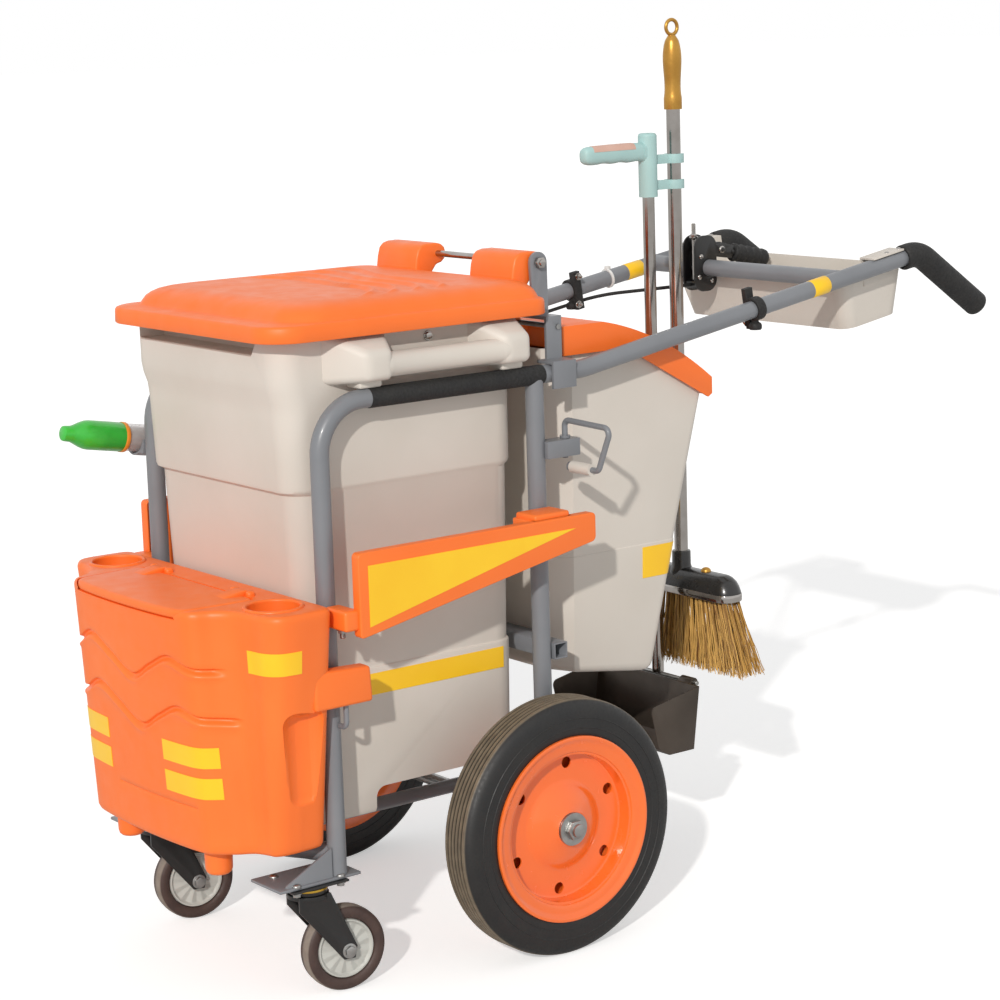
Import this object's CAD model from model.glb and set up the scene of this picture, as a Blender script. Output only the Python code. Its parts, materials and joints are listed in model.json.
# %% [markdown]
# A sanitation cleaning trolley, dressed in Blender round its CAD frame. The CAD gives every place and every
# moving body, so nothing is fitted by eye. Here the mouldings get their soft edges, ribs and grooves, the
# metal its hardware and the broom its bristles.

# %% Load the CAD frame
import json
import random
from math import cos, exp, hypot, pi, radians, sin, tan

import bpy
from mathutils import Matrix, Vector


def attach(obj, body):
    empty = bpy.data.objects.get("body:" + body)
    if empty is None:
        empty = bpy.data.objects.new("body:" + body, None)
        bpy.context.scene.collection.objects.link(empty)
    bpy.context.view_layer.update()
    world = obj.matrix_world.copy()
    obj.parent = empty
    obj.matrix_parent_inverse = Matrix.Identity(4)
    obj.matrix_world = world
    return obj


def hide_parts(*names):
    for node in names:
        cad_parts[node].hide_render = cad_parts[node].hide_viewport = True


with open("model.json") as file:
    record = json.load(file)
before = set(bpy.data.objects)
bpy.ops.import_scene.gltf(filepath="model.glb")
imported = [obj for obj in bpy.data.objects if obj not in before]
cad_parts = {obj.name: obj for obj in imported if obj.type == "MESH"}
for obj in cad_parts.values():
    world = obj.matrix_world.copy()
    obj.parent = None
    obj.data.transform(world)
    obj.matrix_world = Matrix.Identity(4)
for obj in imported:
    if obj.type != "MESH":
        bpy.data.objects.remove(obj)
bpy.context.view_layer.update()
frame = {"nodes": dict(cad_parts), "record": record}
SIDES = {"left": 1, "right": -1}

# %% [markdown]
# The camera stands where the photographer stood: front left of the trolley, a little above its tray, with a
# long lens and a slight roll. A matrix built from the three camera axes is the plainest way to place it.

# %% Camera
CAMERA_AZIMUTH = radians(52.882)
CAMERA_ELEVATION = radians(10.511)
CAMERA_ROLL = radians(1.795)
CAMERA_PLACE = Vector((3.347468, -2.618357, 1.414954))
LENS_MM, SENSOR_MM = 95.98, 36

forward = Vector((
    -sin(CAMERA_AZIMUTH) * cos(CAMERA_ELEVATION),
    cos(CAMERA_AZIMUTH) * cos(CAMERA_ELEVATION),
    -sin(CAMERA_ELEVATION),
))
level_right = Vector((cos(CAMERA_AZIMUTH), sin(CAMERA_AZIMUTH), 0))
level_down = forward.cross(level_right)
right = cos(CAMERA_ROLL) * level_right + sin(CAMERA_ROLL) * level_down
down = -sin(CAMERA_ROLL) * level_right + cos(CAMERA_ROLL) * level_down
lens = bpy.data.cameras.new("photo_camera")
lens.lens = LENS_MM
lens.sensor_width = SENSOR_MM
camera = bpy.data.objects.new("photo_camera", lens)
bpy.context.scene.collection.objects.link(camera)
turn = Matrix((right, -down, -forward)).transposed().to_4x4()
camera.matrix_world = Matrix.Translation(CAMERA_PLACE) @ turn
bpy.context.scene.camera = camera
print("camera at", tuple(camera.location))

# %% [markdown]
# The photograph was taken in low sun on a bright day. One warm sun gives the crisp shadow of the hook on the
# rear bin, and a pale world fills the shade. The world and the floor are white to the camera and to
# reflections only, so that the background is clean and the colours stay as they are written.

# %% Light, world and floor
SUN_FROM = Vector((1.0, -1.17, 0.80))
SUN_STRENGTH, SUN_SPREAD = 2.15, radians(1.6)
SUN_COLOUR = (1.0, 0.965, 0.92)
SKY_FILL = 0.50
FLOOR_SIZE, FLOOR_TONE, FLOOR_LIFT = 120, 0.86, 0.45


def shade(red, green, blue):
    """An sRGB colour of 0 to 255 as the linear values that Blender's sockets take."""
    levels = [value / 255 for value in (red, green, blue)]
    return (*[((v + 0.055) / 1.055) ** 2.4 if v > 0.04 else v / 12.92 for v in levels], 1)


def wire(tree, start, end):
    """Join an output socket to an input socket."""
    tree.links.new(start, end)


bpy.context.scene.view_settings.view_transform = "Standard"
sun = bpy.data.lights.new("low_sun", "SUN")
sun.energy = SUN_STRENGTH
sun.angle = SUN_SPREAD
sun.color = SUN_COLOUR
sun_lamp = bpy.data.objects.new("low_sun", sun)
sun_lamp.rotation_euler = SUN_FROM.to_track_quat("Z", "Y").to_euler()
bpy.context.scene.collection.objects.link(sun_lamp)

world = bpy.data.worlds.new("pale_sky")
bpy.context.scene.world = world
world.use_nodes = True
sky = world.node_tree
seen = sky.nodes.new("ShaderNodeLightPath")
clean = sky.nodes.new("ShaderNodeMath")
clean.operation = "MAXIMUM"
clear_view = sky.nodes.new("ShaderNodeMath")
clear_view.operation = "MAXIMUM"
strength = sky.nodes.new("ShaderNodeMapRange")
strength.inputs["To Min"].default_value = SKY_FILL
strength.inputs["To Max"].default_value = 1.0
wire(sky, seen.outputs["Is Camera Ray"], clean.inputs[0])
wire(sky, seen.outputs["Is Glossy Ray"], clean.inputs[1])
wire(sky, clean.outputs[0], clear_view.inputs[0])
wire(sky, seen.outputs["Is Transmission Ray"], clear_view.inputs[1])
wire(sky, clear_view.outputs[0], strength.inputs["Value"])
wire(sky, strength.outputs[0], sky.nodes["Background"].inputs["Strength"])
sky.nodes["Background"].inputs["Color"].default_value = (1, 1, 1, 1)

bpy.ops.object.select_all(action="DESELECT")
bpy.ops.mesh.primitive_plane_add(size=FLOOR_SIZE)
floor = bpy.context.object
floor.name = "studio_floor"
ground = bpy.data.materials.new("pale_floor")
ground.use_nodes = True
tree = ground.node_tree
tree.nodes.remove(tree.nodes["Principled BSDF"])
matt = tree.nodes.new("ShaderNodeBsdfDiffuse")
matt.inputs["Color"].default_value = (FLOOR_TONE, FLOOR_TONE, FLOOR_TONE, 1)
glow = tree.nodes.new("ShaderNodeEmission")
seen = tree.nodes.new("ShaderNodeLightPath")
lift = tree.nodes.new("ShaderNodeMath")
lift.operation = "MULTIPLY"
lift.inputs[1].default_value = FLOOR_LIFT
both = tree.nodes.new("ShaderNodeAddShader")
wire(tree, seen.outputs["Is Camera Ray"], lift.inputs[0])
wire(tree, lift.outputs[0], glow.inputs["Strength"])
wire(tree, matt.outputs[0], both.inputs[0])
wire(tree, glow.outputs[0], both.inputs[1])
wire(tree, both.outputs[0], tree.nodes["Material Output"].inputs["Surface"])
floor.data.materials.append(ground)
print("sun from", tuple(SUN_FROM))

# %% [markdown]
# Every finish starts from one recipe: a cloudy noise moves the colour a little, a finer noise moves the
# gloss, and a third raises a skin of tiny bumps, as paint, moulded plastic and plated steel all have. Only
# the numbers differ, so one helper makes most of the finishes.

# %% Finishes from one recipe
finishes = {}
COAT_ROUGHNESS = 0.12
GLOSS_FINER, GLOSS_LOW, GLOSS_HIGH = 6, 0.85, 1.18
SKIN_DEPTH, SKIN_DETAIL = 0.001, 2.0


def noise(tree, place, scale, detail=5.0):
    """A noise pattern fixed to the piece."""
    clouds = tree.nodes.new("ShaderNodeTexNoise")
    clouds.inputs["Scale"].default_value = scale
    clouds.inputs["Detail"].default_value = detail
    wire(tree, place, clouds.inputs["Vector"])
    return clouds.outputs["Fac"]


def spread(tree, value, low, high, start=0.3, end=0.7):
    """Map a 0 to 1 pattern to a range."""
    ranged = tree.nodes.new("ShaderNodeMapRange")
    ranged.inputs["From Min"].default_value = start
    ranged.inputs["From Max"].default_value = end
    ranged.inputs["To Min"].default_value = low
    ranged.inputs["To Max"].default_value = high
    wire(tree, value, ranged.inputs["Value"])
    return ranged.outputs["Result"]


def blend_colours(tree, amount, first, second):
    """Mix two colours, or a socket and a colour, by a pattern."""
    mixed = tree.nodes.new("ShaderNodeMix")
    mixed.data_type = "RGBA"
    wire(tree, amount, mixed.inputs["Factor"])
    for colour, socket in ((first, mixed.inputs["A"]), (second, mixed.inputs["B"])):
        if isinstance(colour, tuple):
            socket.default_value = colour
        else:
            wire(tree, colour, socket)
    return mixed.outputs["Result"]


def finish(name, colour, second, rough, metal=0.0, cloud=9.0, skin=500.0, bump=0.06, coat=0.0):
    """A surface whose colour, gloss and skin all vary a little."""
    material = bpy.data.materials.new(name)
    material.use_nodes = True
    tree = material.node_tree
    shader = tree.nodes["Principled BSDF"]
    shader.inputs["Metallic"].default_value = metal
    shader.inputs["Coat Weight"].default_value = coat
    shader.inputs["Coat Roughness"].default_value = COAT_ROUGHNESS
    place = tree.nodes.new("ShaderNodeTexCoord").outputs["Object"]
    cloudy = spread(tree, noise(tree, place, cloud), 0.0, 1.0)
    wire(tree, blend_colours(tree, cloudy, shade(*colour), shade(*second)), shader.inputs["Base Color"])
    gloss = spread(tree, noise(tree, place, GLOSS_FINER * cloud), rough * GLOSS_LOW, rough * GLOSS_HIGH)
    wire(tree, gloss, shader.inputs["Roughness"])
    raised = tree.nodes.new("ShaderNodeBump")
    raised.inputs["Strength"].default_value = bump
    raised.inputs["Distance"].default_value = SKIN_DEPTH
    wire(tree, noise(tree, place, skin, SKIN_DETAIL), raised.inputs["Height"])
    wire(tree, raised.outputs["Normal"], shader.inputs["Normal"])
    finishes[name] = material
    return material


finish("grey_paint", (128, 131, 136), (120, 123, 128), 0.40, coat=0.15, bump=0.05, skin=700)
finish("zinc", (176, 176, 174), (150, 150, 148), 0.36, metal=1.0, cloud=60, bump=0.04)
finish("grip_rubber", (24, 24, 25), (34, 33, 32), 0.72, cloud=40, skin=900, bump=0.35)
finish("bin_grey", (217, 210, 201), (209, 202, 192), 0.50, cloud=5, skin=650, bump=0.08)
finish("orange_plastic", (255, 124, 46), (251, 117, 40), 0.44, cloud=6, skin=600, bump=0.07)
finish("orange_paint", (252, 117, 42), (246, 110, 38), 0.24, cloud=8, skin=260, bump=0.04, coat=0.6)
finish("black_metal", (17, 17, 18), (26, 25, 24), 0.33, cloud=30, skin=600, bump=0.06, coat=0.2)
finish("yellow_zinc", (214, 176, 72), (190, 150, 60), 0.32, metal=1.0, cloud=70)
finish("caster_hub", (196, 197, 191), (184, 184, 178), 0.46, cloud=30, skin=500, bump=0.08)
finish("chrome", (178, 174, 170), (162, 157, 152), 0.13, metal=1.0, cloud=40, bump=0.01)
finish("gold", (196, 150, 70), (174, 128, 56), 0.34, metal=0.75, cloud=30, skin=300, bump=0.05)
finish("head_black", (20, 19, 19), (32, 30, 28), 0.30, cloud=30, coat=0.3)
finish("pale_blue", (172, 208, 206), (164, 199, 198), 0.46, cloud=14, skin=700, bump=0.06)
finish("scoop_sheet", (84, 75, 67), (66, 58, 51), 0.34, metal=0.55, cloud=10, skin=300, bump=0.06)
finish("green_pack", (58, 196, 62), (44, 170, 50), 0.35, cloud=30, coat=0.4)
finish("sticker_yellow", (255, 206, 34), (252, 198, 28), 0.34, cloud=12, skin=900, bump=0.03)
finish("inlay_pink", (216, 178, 163), (206, 166, 150), 0.5, cloud=16, skin=700, bump=0.08)
finish("orange_tape", (240, 150, 50), (228, 136, 40), 0.4, cloud=30)
finish("tie_white", (232, 232, 230), (220, 220, 218), 0.45, cloud=30)
print("finishes", len(finishes))

# %% [markdown]
# The rubber of the wheels is black with road dust on the tread. Dust sits where the tyre meets the ground,
# so its colour depends on how far a point is from the wheel's axle. A Mapping node puts the axle at zero.

# %% Dusty rubber
AXLE_Y, AXLE_Z = -0.225, 0.197
CASTER_CENTRES = {"left": (0.220134, -0.56664, 0.064), "right": (-0.203866, -0.56664, 0.064)}
TYRE_DUST, CASTER_DUST = (0.1945, 0.1962), (0.0622, 0.0634)
DUST_PATCHES, DUST_LEAST, DUST_MOST = 55.0, 0.65, 0.85


def dusty(name, colour, second, dust, centre, start, end, rough):
    """Rubber that turns dusty between two radii from its axle."""
    material = finish(name, colour, second, rough, cloud=40, skin=700, bump=0.12)
    tree = material.node_tree
    shader = tree.nodes["Principled BSDF"]
    place = tree.nodes.new("ShaderNodeTexCoord").outputs["Object"]
    centred = tree.nodes.new("ShaderNodeMapping")
    centred.inputs["Location"].default_value = (0, -centre[0], -centre[1])
    centred.inputs["Scale"].default_value = (0, 1, 1)
    wire(tree, place, centred.inputs["Vector"])
    reach = tree.nodes.new("ShaderNodeVectorMath")
    reach.operation = "LENGTH"
    wire(tree, centred.outputs[0], reach.inputs[0])
    near_rim = spread(tree, reach.outputs["Value"], 0.0, DUST_MOST, start, end)
    patchy = spread(tree, noise(tree, place, DUST_PATCHES), DUST_LEAST, 1.0)
    amount_here = tree.nodes.new("ShaderNodeMath")
    amount_here.operation = "MULTIPLY"
    wire(tree, near_rim, amount_here.inputs[0])
    wire(tree, patchy, amount_here.inputs[1])
    rubber = shader.inputs["Base Color"].links[0].from_socket
    wire(tree, blend_colours(tree, amount_here.outputs[0], rubber, shade(*dust)), shader.inputs["Base Color"])


dusty("tyre_black", (21, 21, 22), (29, 28, 27), (134, 120, 100), (AXLE_Y, AXLE_Z), *TYRE_DUST, 0.52)
caster_middle = CASTER_CENTRES["left"][1:]
dusty("caster_tread", (62, 45, 41), (74, 56, 50), (158, 146, 134), caster_middle, *CASTER_DUST, 0.55)
print("rubber", finishes["tyre_black"].name, finishes["caster_tread"].name)

# %% [markdown]
# Two more finishes: the broom's crimped plastic bristles, whose tone changes from strand to strand through a
# colour attribute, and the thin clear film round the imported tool.

# %% Bristle and film
FILM_COVER = 0.42
bristle = finish("bristle", (176, 122, 44), (206, 152, 66), 0.30, cloud=120, skin=900, bump=0.1, coat=0.3)
tree = bristle.node_tree
strand = tree.nodes.new("ShaderNodeAttribute")
strand.attribute_name = "tone"
toned = blend_colours(tree, strand.outputs["Fac"], shade(104, 62, 20), shade(246, 198, 108))
wire(tree, toned, tree.nodes["Principled BSDF"].inputs["Base Color"])

film_look = finish("film", (214, 206, 204), (232, 226, 224), 0.18, cloud=40, skin=120, bump=0.5, coat=0.5)
film_look.node_tree.nodes["Principled BSDF"].inputs["Alpha"].default_value = FILM_COVER
print("bristle and film ready")

# %% [markdown]
# Operators act on what is selected, so the first helpers at the bench only select: whole pieces, or points,
# edges and faces by their place. They also name what was just added and turn faces outwards.

# %% Selecting and naming
FINE_MERGE, MERGE = 0.00001, 0.00002


def clear():
    """Leave edit mode and select nothing."""
    if bpy.context.object and bpy.context.object.mode == "EDIT":
        bpy.ops.object.mode_set(mode="OBJECT")
    bpy.ops.object.select_all(action="DESELECT")


def use(*pieces):
    """Select these pieces only, the first one active."""
    clear()
    for piece in pieces:
        piece.select_set(True)
    bpy.context.view_layer.objects.active = pieces[0]


def added(name):
    """Name the piece just added and set its place into its points."""
    piece = bpy.context.object
    piece.name = name
    piece.data.name = name
    bpy.ops.object.transform_apply(location=True, rotation=True, scale=True)
    return piece


def pick(piece, kind, test):
    """Select points, edges or faces of a piece by their middle and direction, and stay in edit mode."""
    use(piece)
    bpy.ops.object.mode_set(mode="EDIT")
    bpy.ops.mesh.select_mode(type=kind)
    bpy.ops.mesh.select_all(action="DESELECT")
    bpy.ops.object.mode_set(mode="OBJECT")
    mesh = piece.data
    if kind == "VERT":
        for point in mesh.vertices:
            point.select = test(point.co, point.normal)
    elif kind == "EDGE":
        for edge in mesh.edges:
            first, last = (mesh.vertices[i].co for i in edge.vertices)
            edge.select = test((first + last) / 2, last - first)
    else:
        for face in mesh.polygons:
            face.select = test(face.center, face.normal)
    bpy.ops.object.mode_set(mode="EDIT")


def outward(piece):
    """Merge doubled points and turn every face outwards."""
    use(piece)
    bpy.ops.object.mode_set(mode="EDIT")
    bpy.ops.mesh.select_all(action="SELECT")
    bpy.ops.mesh.remove_doubles(threshold=FINE_MERGE)
    bpy.ops.mesh.normals_make_consistent(inside=False)
    bpy.ops.object.mode_set(mode="OBJECT")


print("merge distances", FINE_MERGE, MERGE)

# %% [markdown]
# Most mouldings here are loops of points stacked into a closed skin, and most turned pieces are a profile
# spun about an axis. Blocks and rods are primitives to be shaped further. Modifiers soften edges and cut
# openings.

# %% Stacking, spinning and cutting
def stack(name, loops):
    """A closed moulding: one loop is filled and extruded for each further loop, then every loop is placed."""
    clear()
    bpy.ops.mesh.primitive_circle_add(vertices=len(loops[0]), fill_type="NGON")
    piece = added(name)
    bpy.ops.object.mode_set(mode="EDIT")
    bpy.ops.mesh.select_all(action="SELECT")
    for _ in loops[1:]:
        bpy.ops.mesh.extrude_region_move()
    bpy.ops.object.mode_set(mode="OBJECT")
    count = len(loops[0])
    above = {}
    for edge in piece.data.edges:
        low, high = sorted(edge.vertices)
        if low // count != high // count:
            above[low] = high
    ring = list(range(count))
    for loop in loops:
        for index, place in zip(ring, loop):
            piece.data.vertices[index].co = place
        ring = [above.get(index) for index in ring]
    outward(piece)
    return piece


def spun(name, profile, centre, steps, axis="X"):
    """A round piece: a profile of (radius, distance along the axis) turned once about the axis."""
    clear()
    bpy.ops.mesh.primitive_circle_add(vertices=len(profile), fill_type="NOTHING")
    piece = added(name)
    line = {"X": Vector((1, 0, 0)), "Y": Vector((0, 1, 0)), "Z": Vector((0, 0, 1))}[axis]
    out = Vector((0, 0, 1)) if axis != "Z" else Vector((1, 0, 0))
    for point, (radius, along) in zip(piece.data.vertices, profile):
        point.co = Vector(centre) + out * radius + line * along
    bpy.ops.object.mode_set(mode="EDIT")
    bpy.ops.mesh.select_all(action="SELECT")
    bpy.ops.mesh.spin(steps=steps, angle=2 * pi, center=centre, axis=line)
    bpy.ops.mesh.select_all(action="SELECT")
    bpy.ops.mesh.remove_doubles(threshold=MERGE)
    bpy.ops.mesh.dissolve_degenerate(threshold=FINE_MERGE)
    bpy.ops.mesh.delete_loose()
    bpy.ops.object.mode_set(mode="OBJECT")
    outward(piece)
    return piece


def modified(piece, kind, **settings):
    """Add a modifier, set it and apply it."""
    use(piece)
    change = piece.modifiers.new("change", kind)
    for setting, value in settings.items():
        setattr(change, setting, value)
    bpy.ops.object.modifier_apply(modifier="change")
    return piece


def soften(piece, width, segments, angle=35):
    """Round every edge sharper than the angle."""
    limit = {"limit_method": "ANGLE", "angle_limit": radians(angle), "use_clamp_overlap": True}
    return modified(piece, "BEVEL", width=width, segments=segments, **limit)


def cut(piece, tool):
    """Take a tool's shape out of a piece."""
    modified(piece, "BOOLEAN", object=tool, operation="DIFFERENCE", solver="EXACT")
    bpy.data.objects.remove(tool)


def joined(piece, *others):
    """Make several meshes one piece."""
    use(piece, *others)
    bpy.ops.object.join()
    return piece


def block(name, low, high):
    """A box between two corners, to be shaped further."""
    clear()
    middle = (Vector(low) + Vector(high)) / 2
    bpy.ops.mesh.primitive_cube_add(size=1, location=middle, scale=Vector(high) - Vector(low))
    return added(name)


def rod(name, start, end, radius, sides):
    """A round bar between two points, to be shaped further."""
    clear()
    line = Vector(end) - Vector(start)
    bpy.ops.mesh.primitive_cylinder_add(
        vertices=sides,
        radius=radius,
        depth=line.length,
        location=(Vector(start) + Vector(end)) / 2,
        rotation=line.to_track_quat("Z", "Y").to_euler(),
    )
    return added(name)


def slab(name, outline, start, end):
    """A plate with an outline of (y, z) as seen from the side, between two places across."""
    return stack(name, [[(x, y, z) for y, z in outline] for x in (start, end)])


print("stack, spin and cut ready")

# %% [markdown]
# A finished piece is smoothed, painted and sent home: it rides on a body and takes the place of its CAD
# nodes. What stands on both sides is made once, on the left, and copied with a mesh of its own.

# %% Sending pieces home
def twin(piece, name):
    """The same piece on the other side of the trolley, with a mesh of its own."""
    other = piece.copy()
    other.data = piece.data.copy()
    other.name = name
    other.data.name = name
    bpy.context.scene.collection.objects.link(other)
    for point in other.data.vertices:
        point.co.x = -point.co.x
    use(other)
    bpy.ops.object.mode_set(mode="EDIT")
    bpy.ops.mesh.select_all(action="SELECT")
    bpy.ops.mesh.flip_normals()
    bpy.ops.object.mode_set(mode="OBJECT")
    return other


def home(piece, body, look, *nodes, smooth=40):
    """Smooth, paint and mount a finished piece, in place of its CAD nodes."""
    use(piece)
    bpy.ops.object.shade_smooth_by_angle(angle=radians(smooth))
    piece.data.materials.clear()
    piece.data.materials.append(finishes[look])
    if nodes:
        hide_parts(*nodes)
    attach(piece, body)
    print(piece.name, len(piece.data.polygons), "faces")


def pair(piece, body, look, *nodes, smooth=40):
    """Send home a piece of the left side and its twin on the right."""
    body_right, *nodes_right = [name.replace("left", "right") for name in (body, *nodes)]
    other = twin(piece, piece.name.replace("left", "right"))
    home(other, body_right, look, *nodes_right, smooth=smooth)
    home(piece, body, look, *nodes, smooth=smooth)


def rounded(half, front, rear, z, nose, tail, corner=8, run=1):
    """Points round a rectangle with rounded corners: nose at the front, tail at the rear."""
    arcs = []
    places = (
        (half - tail, rear - tail, tail, 0),
        (tail - half, rear - tail, tail, 90),
        (nose - half, front + nose, nose, 180),
        (half - nose, front + nose, nose, 270),
    )
    for x, y, radius, start in places:
        angles = [radians(start + 90 * k / corner) for k in range(corner + 1)]
        arcs.append([Vector((x + radius * cos(a), y + radius * sin(a), z)) for a in angles])
    loop = []
    for arc, following in zip(arcs, arcs[1:] + arcs[:1]):
        loop += arc
        loop += [arc[-1].lerp(following[0], k / run) for k in range(1, run)]
    return loop


print("bench ready")

# %% [markdown]
# Most CAD pieces already have the right shape and only need the small radius that bending, pressing or
# moulding leaves on every edge. A copy is merged, its flat faces are joined again, and a Bevel modifier
# rounds what is left. The rim of an open tray is a thin flat ring, which folds over when it is one big face,
# so there the triangles are only paired into quads.

# %% Copy a CAD node with softened edges
FLAT, ANY_SHAPE = radians(1), radians(180)
SHARP = 32


def copied(node, width, segments=2, ring=False):
    """A free copy of a CAD node's shape with rounded edges."""
    source = frame["nodes"][node]
    piece = source.copy()
    piece.data = source.data.copy()
    for key in list(piece.keys()):
        del piece[key]
    piece.parent = None
    piece.matrix_world = Matrix.Identity(4)
    piece.name = node + "_soft"
    piece.data.name = piece.name
    bpy.context.scene.collection.objects.link(piece)
    use(piece)
    bpy.ops.object.mode_set(mode="EDIT")
    bpy.ops.mesh.select_all(action="SELECT")
    bpy.ops.mesh.customdata_custom_splitnormals_clear()
    bpy.ops.mesh.remove_doubles(threshold=MERGE)
    if ring:
        bpy.ops.mesh.tris_convert_to_quads(face_threshold=FLAT, shape_threshold=ANY_SHAPE)
    else:
        bpy.ops.mesh.dissolve_limited(angle_limit=FLAT)
    bpy.ops.object.mode_set(mode="OBJECT")
    return soften(piece, width, segments, SHARP)


def softened(node, body, look, width, segments=2, ring=False):
    """A CAD node with rounded edges, mounted in its place."""
    home(copied(node, width, segments, ring), body, look, node)


print("ready to soften CAD nodes")

# %% [markdown]
# Small fasteners turn up everywhere: domed screw heads, hexagon nuts and bolts with a washer. Each is spun
# or drawn as a short rod with softened edges, and placed along the line it is screwed in.

# %% Fasteners
THREAD_PITCH, THREAD_ROOT, STUD_TIP = 0.0016, 0.90, 0.7
HEAD_SUNK, DOME_RIM = 0.001, 0.15
NUT_SUNK, NUT_EDGE = 0.0005, 0.09
WASHER_WIDE, WASHER_EDGE = 1.28, 1.20


def aimed(piece, place, line):
    """Turn a piece made upright at the origin to point along a line, at a place."""
    turn = Vector(line).to_track_quat("Z", "Y").to_matrix().to_4x4()
    piece.data.transform(Matrix.Translation(place) @ turn)
    return piece


def turned(name, profile, place, line, steps):
    """A round piece spun upright at the origin, then aimed along a line."""
    return aimed(spun(name, profile, (0, 0, 0), axis="Z", steps=steps), place, line)


def dome(name, place, line, radius, height):
    """A domed screw head on a surface."""
    profile = [(0.0, -HEAD_SUNK), (radius, -HEAD_SUNK), (radius, DOME_RIM * height)]
    for k in range(1, 6):
        turn = radians(90 * k / 5)
        profile.append((radius * cos(turn), height * (DOME_RIM + (1 - DOME_RIM) * sin(turn))))
    profile[-1] = (0.0, height)
    return turned(name, profile, place, line, 24)


def hexagon(name, place, line, radius, height):
    """A hexagon nut or bolt head with a round washer under it."""
    nut = rod(name, (0, 0, -NUT_SUNK), (0, 0, height), radius, sides=6)
    soften(nut, NUT_EDGE * radius, 2)
    wide, edge = WASHER_WIDE * radius, WASHER_EDGE * radius
    profile = ((0.0, -0.0008), (wide, -0.0008), (wide, 0.0010), (edge, 0.0014), (0.0, 0.0014))
    return aimed(joined(nut, spun("washer", profile, (0, 0, 0), axis="Z", steps=28)), place, line)


def stud(name, place, line, radius, height):
    """A short threaded end with a rounded tip and a few rings for its thread."""
    profile = [(0.0, 0.0)]
    rings = max(2, int(height / THREAD_PITCH))
    for k in range(rings):
        profile.append((radius, height * k / (rings + 1)))
        profile.append((THREAD_ROOT * radius, height * (k + 0.5) / (rings + 1)))
    profile += [(radius, height * rings / (rings + 1)), (STUD_TIP * radius, height), (0.0, height)]
    return turned(name, profile, place, line, 20)


print("fasteners ready")

# %% [markdown]
# The main bin is blow-moulded: rounded upright corners, a wider collar above a step, and a fine ledge low
# down. Loops of one rounded rectangle are stacked up the outside and down the inside, so that it is hollow
# when the lid opens. The foot is cut away at the rear, and a deep finger recess is cut under the lid's lip.

# %% Main bin
BIN_CORNER, BIN_WALL = 0.040, 0.005
NOTCH = ((-0.3, -0.475, 0.15), (0.3, -0.1, 0.2805))
RECESS = ((-0.186, -0.66, 0.9360), (0.158, -0.5760, 0.9700))
bin_outside = (
    (0.178, -0.573, -0.217, 0.2405),
    (0.187, -0.582, -0.208, 0.2430),
    (0.190, -0.585, -0.205, 0.2500),
    (0.1950, -0.5915, -0.2042, 0.4610),
    (0.1945, -0.5910, -0.2047, 0.4640),
    (0.1922, -0.5888, -0.2068, 0.4652),
    (0.1925, -0.5892, -0.2066, 0.4690),
    (0.1990, -0.5985, -0.2050, 0.7340),
    (0.2030, -0.6075, -0.2020, 0.7390),
    (0.2042, -0.6090, -0.2012, 0.7440),
    (0.2048, -0.6140, -0.2006, 0.8500),
    (0.2052, -0.6160, -0.2004, 0.8680),
    (0.2062, -0.6215, -0.2001, 0.8850),
    (0.2068, -0.6238, -0.2001, 0.9000),
    (0.2068, -0.6242, -0.2001, 0.9740),
    (0.2052, -0.6226, -0.2017, 0.9785),
)
bin_inside = (
    (0.1995, -0.5680, -0.2070, 0.9785),
    (0.1985, -0.5680, -0.2080, 0.9250),
    (0.1980, -0.5900, -0.2085, 0.8950),
    (0.1965, -0.5890, -0.2090, 0.7380),
    (0.1860, -0.5800, -0.2120, 0.3000),
    (0.1780, -0.5700, -0.2200, 0.2870),
)
loops = [rounded(h, f, r, z, BIN_CORNER, BIN_CORNER, corner=10) for h, f, r, z in bin_outside]
inner_corner = BIN_CORNER - BIN_WALL
loops += [rounded(h, f, r, z, inner_corner, inner_corner, corner=10) for h, f, r, z in bin_inside]
main_bin = stack("main_bin_moulding", loops)
notch = block("notch", *NOTCH)
pick(notch, "EDGE", lambda middle, along: middle.y < -0.47 and middle.z > 0.28)
bpy.ops.mesh.bevel(offset=0.016, segments=6)
clear()
cut(main_bin, notch)
recess = block("recess", *RECESS)
pick(recess, "VERT", lambda place, normal: place.x > 0 and place.z < 0.94)
bpy.ops.transform.translate(value=(-0.022, 0, -0.001))
clear()
soften(recess, 0.003, 2)
cut(main_bin, recess)
soften(main_bin, 0.0022, 2, 50)
print("bin walls", len(main_bin.data.polygons))

# %% [markdown]
# A lifting handle stands out on each side: a low panel, two blocks that run out of the wall as wedges, and a
# thick round bar between them. Each block is a four-cornered loop at the wall stacked to a smaller one at its
# face, then bevelled. The bar with its two collars is a spun profile.

# %% Handles of the main bin
BLOCK_AT_WALL = (0.200, 0.8900, 0.9700)
BLOCK_AT_FACE = (0.261, 0.8965, 0.9375)
PAD_STARTS, PAD_LENGTH = (-0.510, -0.255), 0.040


def handle_block(name, wall, face):
    """A block from a span along the wall to a shorter span at its face."""
    loops = []
    for (x, low, high), (start, end) in ((BLOCK_AT_WALL, wall), (BLOCK_AT_FACE, face)):
        loops.append([(x, start, low), (x, end, low), (x, end, high), (x, start, high)])
    return soften(stack(name, loops), 0.0105, 6)


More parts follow.
